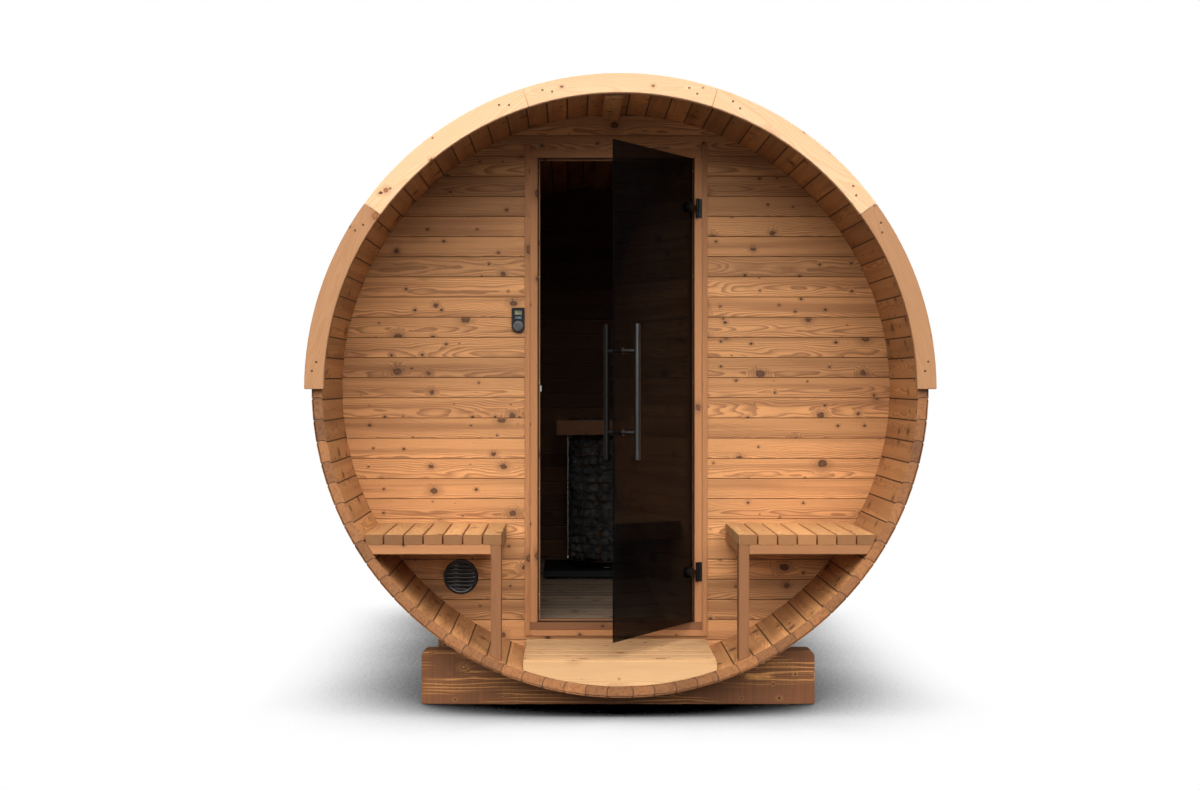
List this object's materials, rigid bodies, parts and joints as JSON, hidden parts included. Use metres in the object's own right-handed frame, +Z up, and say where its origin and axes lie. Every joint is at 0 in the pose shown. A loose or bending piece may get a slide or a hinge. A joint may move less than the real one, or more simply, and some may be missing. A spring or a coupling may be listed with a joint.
{
  "type": "barrel sauna",
  "caption": "Lying wooden barrel sauna on cradles with an open porch, two porch benches, a hinged smoked glass door and a stone-filled basket heater inside.",
  "frame": {"origin": "on the ground, under the middle of the barrel, at the centre of the footprint of its bounding box", "axes": "+Z up, +Y along the barrel's axis towards its rear end, so the porch and door face -Y; +X is to the right of someone who faces the porch"},
  "size_m": [2.306, 3.056, 2.356],
  "materials": {
    "thermo_wood": "satin",
    "fascia_wood": "satin",
    "frame_wood": "satin",
    "deck_wood": "matt",
    "floor_wood": "matt",
    "cradle_wood": "satin",
    "roof_felt": "matt",
    "band_steel": "brushed",
    "smoked_glass": "polished",
    "handle_metal": "satin",
    "hinge_metal": "satin",
    "catch_steel": "polished",
    "tray_metal": "matt",
    "basket_steel": "satin",
    "heater_stone": "matt",
    "vent_plastic": "gloss",
    "control_glass": "gloss"
  },
  "bodies": {
    "shell": {"staves_bottom": "thermo_wood", "staves_lower_right": "thermo_wood", "staves_right": "thermo_wood", "staves_upper_right": "thermo_wood", "staves_crown": "thermo_wood", "staves_upper_left": "thermo_wood", "staves_left": "thermo_wood", "staves_lower_left": "thermo_wood", "front_wall_left": "thermo_wood", "front_wall_right": "thermo_wood", "front_wall_head": "thermo_wood", "front_wall_base": "thermo_wood", "rear_wall": "thermo_wood", "bench_left_slats": "thermo_wood", "bench_left_frame": "thermo_wood", "bench_right_slats": "thermo_wood", "bench_right_frame": "thermo_wood", "ridge_batten": "thermo_wood", "heater_guard": "thermo_wood", "cradle_front": "cradle_wood", "cradle_front_middle": "cradle_wood", "cradle_rear_middle": "cradle_wood", "cradle_rear": "cradle_wood", "front_fascia": "fascia_wood", "rear_fascia": "fascia_wood", "roof_covering": "roof_felt", "steel_bands": "band_steel", "door_jamb_left": "frame_wood", "door_jamb_right": "frame_wood", "door_head": "frame_wood", "door_sill": "frame_wood", "door_trim": "frame_wood", "door_stop": "frame_wood", "threshold_strip": "frame_wood", "door_catch": "catch_steel", "hinge_leaves": "hinge_metal", "porch_floor_boards": "deck_wood", "porch_floor_front": "deck_wood", "porch_floor_bearers": "deck_wood", "room_floor_boards": "floor_wood", "room_floor_joists": "floor_wood", "heater_tray": "tray_metal", "heater_basket": "basket_steel", "heater_stones": "heater_stone", "vent_grille": "vent_plastic", "control_unit": "control_glass"},
    "door": {"door_glass": "smoked_glass", "door_handle_outer": "handle_metal", "door_handle_inner": "handle_metal", "door_clamps": "hinge_metal"}
  },
  "joints": [
    {"name": "door_hinge", "type": "hinge", "parent": "shell", "child": "door", "pos_m": [0.322, -0.996, 1.203], "axis": [0, 0, 1], "range_deg": [-58, 42]}
  ]
}
